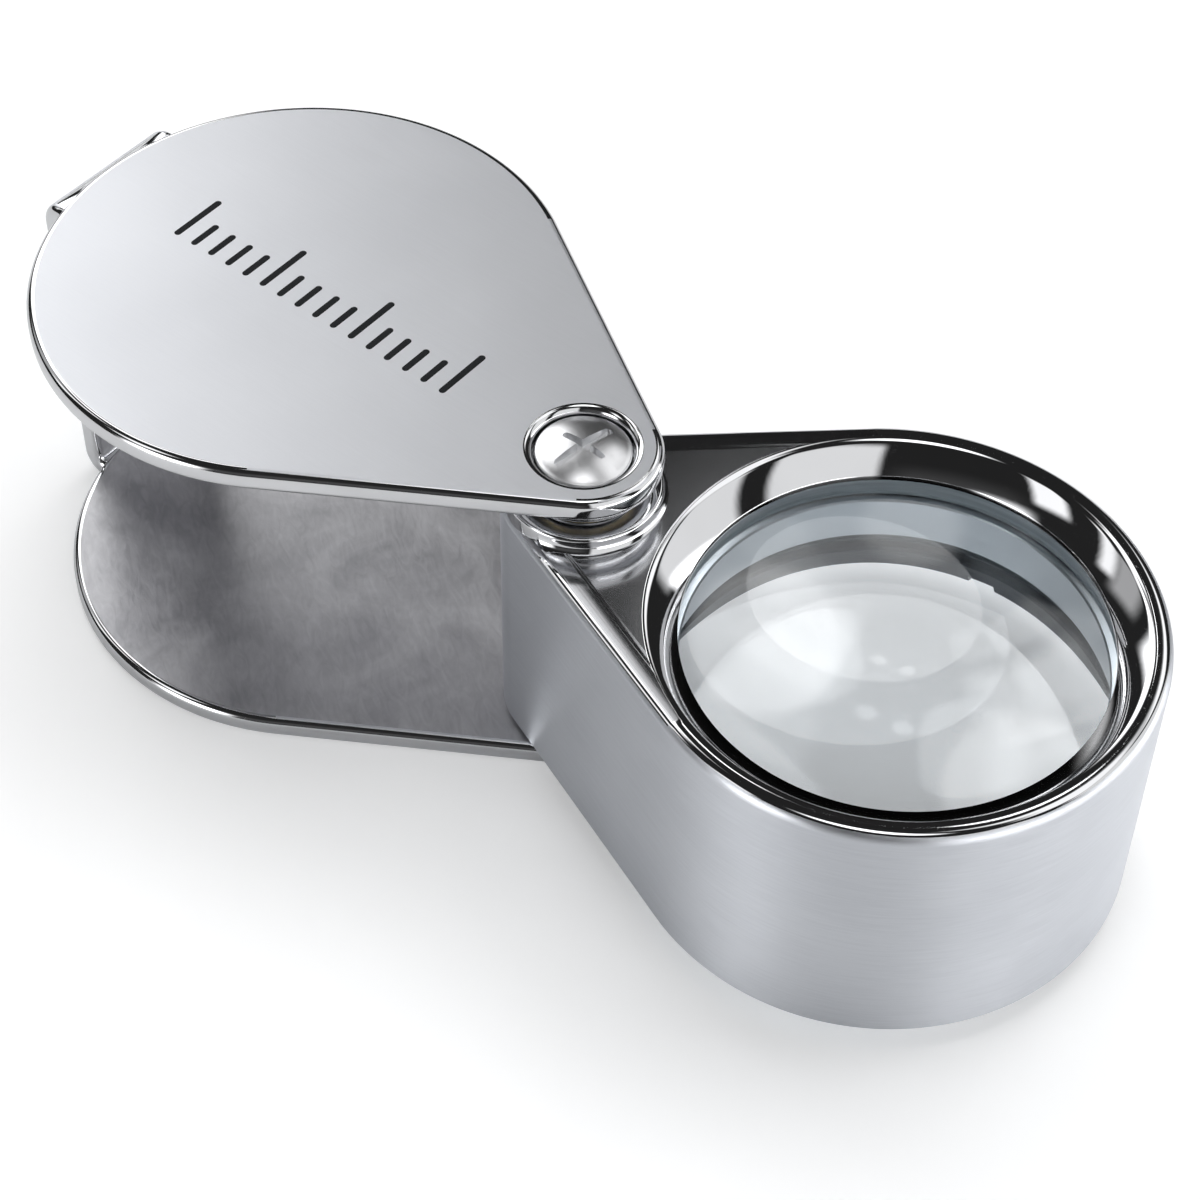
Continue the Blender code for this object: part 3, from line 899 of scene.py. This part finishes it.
def make_body(m, outline_at):
    """The casting. Its deck runs down to the straight flanks in a shallow curve, the crown, which
    fades out towards the round end."""
    deck = m["deck"]
    section = []
    for i in range(CROWN_STEPS):
        share = i / CROWN_STEPS
        section.append((HOUSING_EDGE + CROWN_WIDTH * (1.0 - share), deck, share**2))
    for inset, height in edge_section(m["foot"], deck, FOOT_EDGE, HOUSING_EDGE):
        section.append((inset, height, max(0.0, 1.0 - (deck - height) / HOUSING_EDGE)))
    rings = []
    for inset, height, crown in section:
        ring = []
        for x, y in outline_at(inset):
            wide = (math.hypot(x - m["lens_x"], y) + inset - m["housing_r"]) / CROWN_FADE
            ring.append((x, y, height - CROWN_DROP * crown * min(1.0, max(0.0, wide))))
        rings.append(ring)
    return loft("housing_casting", rings)


def make_boss(m, outline_at):
    """The pivot boss with the concave fillet at its foot, kept inside the casting's outline."""
    deck = m["deck"]
    profile = [(0.0, m["boss_top"])]
    profile += arc((BOSS_R - BOSS_EDGE, m["boss_top"] - BOSS_EDGE), BOSS_EDGE, 90, 0, FILLET_STEPS)
    profile += [(BOSS_R, deck - BOSS_SINK), (0.0, deck - BOSS_SINK)]
    boss = turned("boss", profile)
    low = deck - CROWN_DROP
    centre = (BOSS_R + BOSS_FILLET, low + BOSS_FILLET)
    skirt_profile = [(0.0, centre[1]), (BOSS_R, centre[1])]
    skirt_profile += arc(centre, BOSS_FILLET, 180, 264, FILLET_STEPS)[1:]
    skirt_profile += [(skirt_profile[-1][0], deck - SKIRT_SINK), (0.0, deck - SKIRT_SINK)]
    skirt = turned("skirt", skirt_profile)
    inside = [(x, y, deck - COLUMN_SINK) for x, y in outline_at(HOUSING_EDGE)]
    column = loft("column", [inside, [(x, y, deck + CUT_PAST) for x, y, _ in inside]])
    combine(skirt, "INTERSECT", column)
    combine(boss, "UNION", skirt)
    return boss


def make_housing(m, finish):
    def outline_at(inset):
        return teardrop(m["lens_x"], m["housing_r"] - inset, NOSE_R - inset)

    deck = m["deck"]
    housing = make_body(m, outline_at)
    combine(housing, "UNION", make_boss(m, outline_at))
    hole = cylinder("hole", SLEEVE_R + RUNNING_GAP, m["foot"] - CUT_PAST, m["boss_top"] + CUT_PAST)
    bore = shift(turned("bore", bore_profile(m)), Matrix.Translation((m["lens_x"], 0.0, 0.0)))
    combine(housing, "DIFFERENCE", hole, bore)
    seat = deck - BEZEL_DEPTH - LIP_DEPTH

    def choose(centre, normal):
        out = math.hypot(centre.x - m["lens_x"], centre.y)
        in_bore = m["foot"] + LOWER_BEZEL_DEPTH < centre.z < seat + ON_SURFACE
        in_bezel = out < BEZEL_R + BEZEL_EDGE
        # The bore's wall below the lens seat takes the near-black ring finish: painted shade inside the
        # bore
        if out < THREAD_R + THREAD_REACH and in_bore:
            return 2
        # The top face and crown take the darker deck chrome, which is painted shade
        if out > BEZEL_R + BEZEL_EDGE and normal.z > NEARLY_LEVEL and centre.z < deck + ON_SURFACE:
            return 3
        if in_bezel and abs(normal.z) < FLAT:
            return 0
        if abs(normal.z) < STEEP and centre.z < deck or normal.z < -FLAT:
            return 1
        return 0

    smooth(housing)
    paint(housing, [finish["mirror"], finish["wall"], finish["ring"], finish["deck"]], choose)
    return housing


def lens_profile(flat, edge, bulge):
    """Half section of a plano-convex lens whose flat side is at the height flat. It bulges up where
    bulge is 1 and down where bulge is -1."""
    centre = flat + bulge * (edge - math.sqrt(LENS_CURVE_R**2 - LENS_R**2))
    reach = LENS_R - LENS_CHAMFER
    curve = []
    for i in range(LENS_STEPS + 1):
        radius = reach * i / LENS_STEPS
        curve.append((radius, centre + bulge * math.sqrt(LENS_CURVE_R**2 - radius**2)))
    side = [(LENS_R, curve[-1][1] - bulge * LENS_CHAMFER), (LENS_R, flat + bulge * LENS_CHAMFER)]
    return curve + side + [(reach, flat), (0.0, flat)]


def make_lens(name, profile, glass_finish, edge_finish):
    """A lens turned from its profile. The faces of its edge are ground."""
    lens = turned(name, profile)
    smooth(lens)
    paint(lens, [glass_finish, edge_finish], lambda centre, normal: int(abs(normal.z) < 0.9))
    return lens


def make_spacer(m, finish):
    low, high = m["spacer"]
    inner = LENS_R - SPACER_WALL
    profile = [(inner, high - SPACER_CHAMFER), (inner + SPACER_CHAMFER, high), (LENS_R, high)]
    profile += [(LENS_R, low), (inner + SPACER_CHAMFER, low), (inner, low + SPACER_CHAMFER)]
    spacer = turned("spacer_tube", profile, ends="joined")
    smooth(spacer)
    paint(spacer, [finish["spacer"]])
    return spacer


def make_ring(m, finish):
    """The threaded ring under the lenses, slotted across for a spanner."""
    low, high = m["ring"]
    outer = THREAD_R - RUNNING_GAP
    inner = RING_INNER_R
    edge = RING_CHAMFER
    profile = [(inner, high - edge), (inner + edge, high), (outer, high), (outer, low + edge)]
    profile += [(outer - edge, low), (inner + edge, low), (inner, low + edge)]
    ring = turned("ring_body", profile, ends="joined")
    slot_high = low + RING_SLOT_DEPTH
    slot_low = low - CUT_PAST
    middle = (0.0, 0.0)
    slot = slot_cutter("slot", RING_SLOT_LENGTH, RING_SLOT, middle, slot_high, slot_low, 0.0)
    combine(ring, "DIFFERENCE", slot)
    smooth(ring)
    # The ring's near-black finish is painted shade for the bottom of the bore
    paint(ring, [finish["ring"]])
    return ring


def make_optics(m, finish):
    """What the housing holds, keyed by node and moved out to the lens's axis."""
    upper = lens_profile(m["upper_flat"], UPPER_LENS_EDGE, -1)
    lower = lens_profile(m["lower_flat"], LOWER_LENS_EDGE, 1)
    pieces = {
        "upper_lens": make_lens("upper_glass", upper, finish["glass"], finish["ground"]),
        # The lower lens's edge takes the darker ground finish, which is painted shade
        "lower_lens": make_lens("lower_glass", lower, finish["glass"], finish["ground_painted_shade"]),
        "lens_spacer": make_spacer(m, finish),
        "retaining_ring": make_ring(m, finish),
    }
    for piece in pieces.values():
        shift(piece, Matrix.Translation((m["lens_x"], 0.0, 0.0)))
    return pieces


# ---------------------------------------------------------------- studio

def world_math(tree, operation, *values):
    """A math node fed with outputs or plain numbers."""
    node = tree.nodes.new("ShaderNodeMath")
    node.operation = operation
    for socket, value in zip(node.inputs, values):
        if isinstance(value, (int, float)):
            socket.default_value = value
        else:
            tree.links.new(value, socket)
    return node.outputs["Value"]


def window(tree, angle, middle, half, soft):
    """1 inside half degrees of middle, falling to 0 over soft degrees."""
    off = world_math(tree, "ABSOLUTE", world_math(tree, "SUBTRACT", angle, middle))
    ramp = tree.nodes.new("ShaderNodeMapRange")
    ramp.interpolation_type = "SMOOTHSTEP"
    ramp.inputs["From Min"].default_value = half - soft
    ramp.inputs["From Max"].default_value = half + soft
    ramp.inputs["To Min"].default_value = 1.0
    ramp.inputs["To Max"].default_value = 0.0
    tree.links.new(off, ramp.inputs["Value"])
    return ramp.outputs["Result"]


def panel_light(tree, direction, elevation, panel):
    """The brightness that a panel adds in a direction."""
    azimuth, middle, half_across, half_up, soft, strength = panel
    turn = tree.nodes.new("ShaderNodeVectorRotate")
    turn.rotation_type = "Z_AXIS"
    turn.inputs["Angle"].default_value = math.radians(-azimuth)
    split = tree.nodes.new("ShaderNodeSeparateXYZ")
    tree.links.new(direction, turn.inputs["Vector"])
    tree.links.new(turn.outputs["Vector"], split.inputs["Vector"])
    heading = world_math(tree, "ARCTAN2", split.outputs["Y"], split.outputs["X"])
    across = window(tree, world_math(tree, "DEGREES", heading), 0.0, half_across, soft)
    up = window(tree, elevation, middle, half_up, soft)
    return world_math(tree, "MULTIPLY", world_math(tree, "MULTIPLY", across, up), strength)


def lamp_light(tree, direction, lamp):
    """The brightness that a round lamp adds in a direction."""
    azimuth, elevation, radius, soft, strength = lamp
    raised = Matrix.Rotation(math.radians(-elevation), 3, "Y") @ Vector((1.0, 0.0, 0.0))
    aim = Matrix.Rotation(math.radians(azimuth), 3, "Z") @ raised
    dot = tree.nodes.new("ShaderNodeVectorMath")
    dot.operation = "DOT_PRODUCT"
    dot.inputs[1].default_value = aim
    tree.links.new(direction, dot.inputs[0])
    away = world_math(tree, "DEGREES", world_math(tree, "ARCCOSINE", dot.outputs["Value"]))
    return world_math(tree, "MULTIPLY", window(tree, away, 0.0, radius, soft), strength)


def make_world():
    """A dark room with soft panels in it, which the camera itself sees as a pale backdrop."""
    world = bpy.data.worlds.new("studio")
    world.use_nodes = True
    bpy.context.scene.world = world
    tree = world.node_tree
    direction = tree.nodes.new("ShaderNodeTexCoord").outputs["Generated"]
    split = tree.nodes.new("ShaderNodeSeparateXYZ")
    tree.links.new(direction, split.inputs["Vector"])
    elevation = world_math(tree, "DEGREES", world_math(tree, "ARCSINE", split.outputs["Z"]))
    light = SKY_BASE
    for panel in PANELS.values():
        light = world_math(tree, "ADD", panel_light(tree, direction, elevation, panel), light)
    for lamp in LAMPS.values():
        light = world_math(tree, "ADD", lamp_light(tree, direction, lamp), light)
    seen = tree.nodes.new("ShaderNodeLightPath").outputs["Is Camera Ray"]
    strength = tree.nodes.new("ShaderNodeMix")
    tree.links.new(seen, strength.inputs["Factor"])
    tree.links.new(light, strength.inputs["A"])
    strength.inputs["B"].default_value = BACKDROP
    background = tree.nodes["Background"]
    background.inputs["Color"].default_value = (1.0, 1.0, 1.0, 1.0)
    tree.links.new(strength.outputs["Result"], background.inputs["Strength"])


def make_floor():
    floor = cylinder("floor", FLOOR_R, -FLOOR_DEPTH, -FLOOR_GAP)
    paint(floor, [floor_material()])


def make_key_light():
    """Soft light from above and behind, for the floor's shadows. Polished metal doesn't show it."""
    data = bpy.data.lights.new("key", "SUN")
    data.energy = KEY_STRENGTH
    data.angle = math.radians(KEY_SPREAD)
    light = bpy.data.objects.new("key", data)
    bpy.context.scene.collection.objects.link(light)
    light.visible_glossy = False
    light.rotation_euler = (0.0, math.radians(90.0 - KEY_ELEVATION), math.radians(KEY_AZIMUTH))


def make_camera():
    """A camera turned CAMERA_AZIMUTH from -Y towards +X, raised, rolled and aimed."""
    azimuth = math.radians(CAMERA_AZIMUTH)
    elevation = math.radians(CAMERA_ELEVATION)
    roll = math.radians(CAMERA_ROLL)
    level = math.cos(elevation)
    back = Vector((math.sin(azimuth) * level, -math.cos(azimuth) * level, math.sin(elevation)))
    right = (-back).cross(Vector((0.0, 0.0, 1.0))).normalized()
    up = right.cross(-back)
    turned_right = right * math.cos(roll) + up * math.sin(roll)
    turned_up = up * math.cos(roll) - right * math.sin(roll)
    data = bpy.data.cameras.new("camera")
    data.lens = CAMERA_LENS
    data.sensor_width = 36.0
    data.clip_start = 2.0 * MM
    data.clip_end = 20.0
    camera = bpy.data.objects.new("camera", data)
    bpy.context.scene.collection.objects.link(camera)
    facing = Matrix((turned_right, turned_up, back)).transposed().to_4x4()
    camera.matrix_world = Matrix.Translation(CAMERA_AIM + back * CAMERA_DISTANCE) @ facing
    bpy.context.scene.camera = camera
    bpy.context.scene.view_settings.view_transform = "Standard"


# ---------------------------------------------------------------- assembly

def stand_in(piece, node, body, place):
    """Puts the piece where the CAD has it, in place of its node."""
    shift(piece, place)
    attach(piece, body)
    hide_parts(node)


def main():
    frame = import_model()
    m = measure(frame)
    finish = make_materials()
    case, inlay = make_case(m, finish)
    stand_in(case, "case_shell", "case", m["case"])
    shift(inlay, m["case"])
    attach(inlay, "case")
    stand_in(make_screw(m, finish), "pivot_screw", "case", m["case"])
    stand_in(make_nut(m, finish), "sleeve_nut", "case", m["case"])
    for node, piece in make_washers(finish).items():
        stand_in(piece, node, "case", m["case"])
    housing = make_housing(m, finish)
    stand_in(housing, "lens_housing", "lens_holder", m["holder"])
    for node, piece in make_optics(m, finish).items():
        stand_in(piece, node, "lens_holder", m["holder"])
    make_world()
    make_floor()
    make_key_light()
    make_camera()


main()
